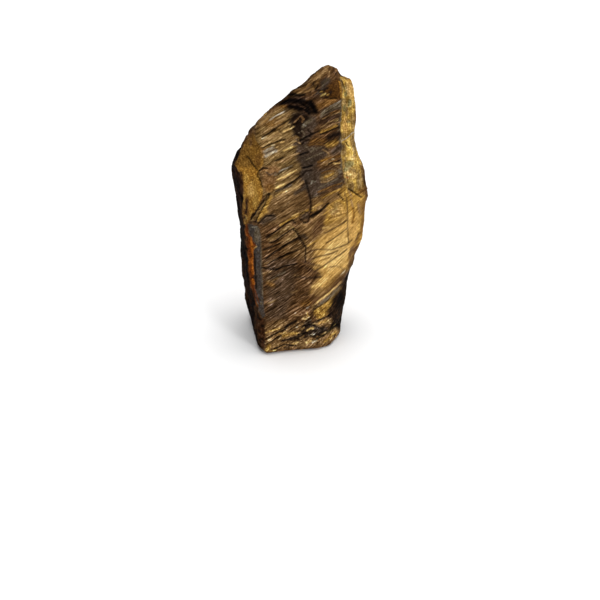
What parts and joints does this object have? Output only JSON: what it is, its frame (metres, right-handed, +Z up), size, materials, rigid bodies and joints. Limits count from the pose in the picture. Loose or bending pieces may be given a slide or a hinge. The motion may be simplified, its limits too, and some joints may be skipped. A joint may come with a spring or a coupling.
{
  "type": "rough tiger's eye specimen",
  "caption": "Upright rough chunk of gold and brown fibrous quartz with a slanted top, a rind on its sides and a flat broken foot.",
  "frame": {"origin": "middle of the stone's bounding box in plan, on the surface that the foot stands on", "axes": "+Z up along the stone's length, -Y towards the viewer of the fibrous broken face, +X to that viewer's right"},
  "size_m": [0.0404, 0.0316, 0.0857],
  "materials": {
    "tigers_eye": "rough broken stone with a silky sheen across the fibres"
  },
  "bodies": {
    "root": {"tigers_eye_stone": "tigers_eye"}
  },
  "joints": []
}
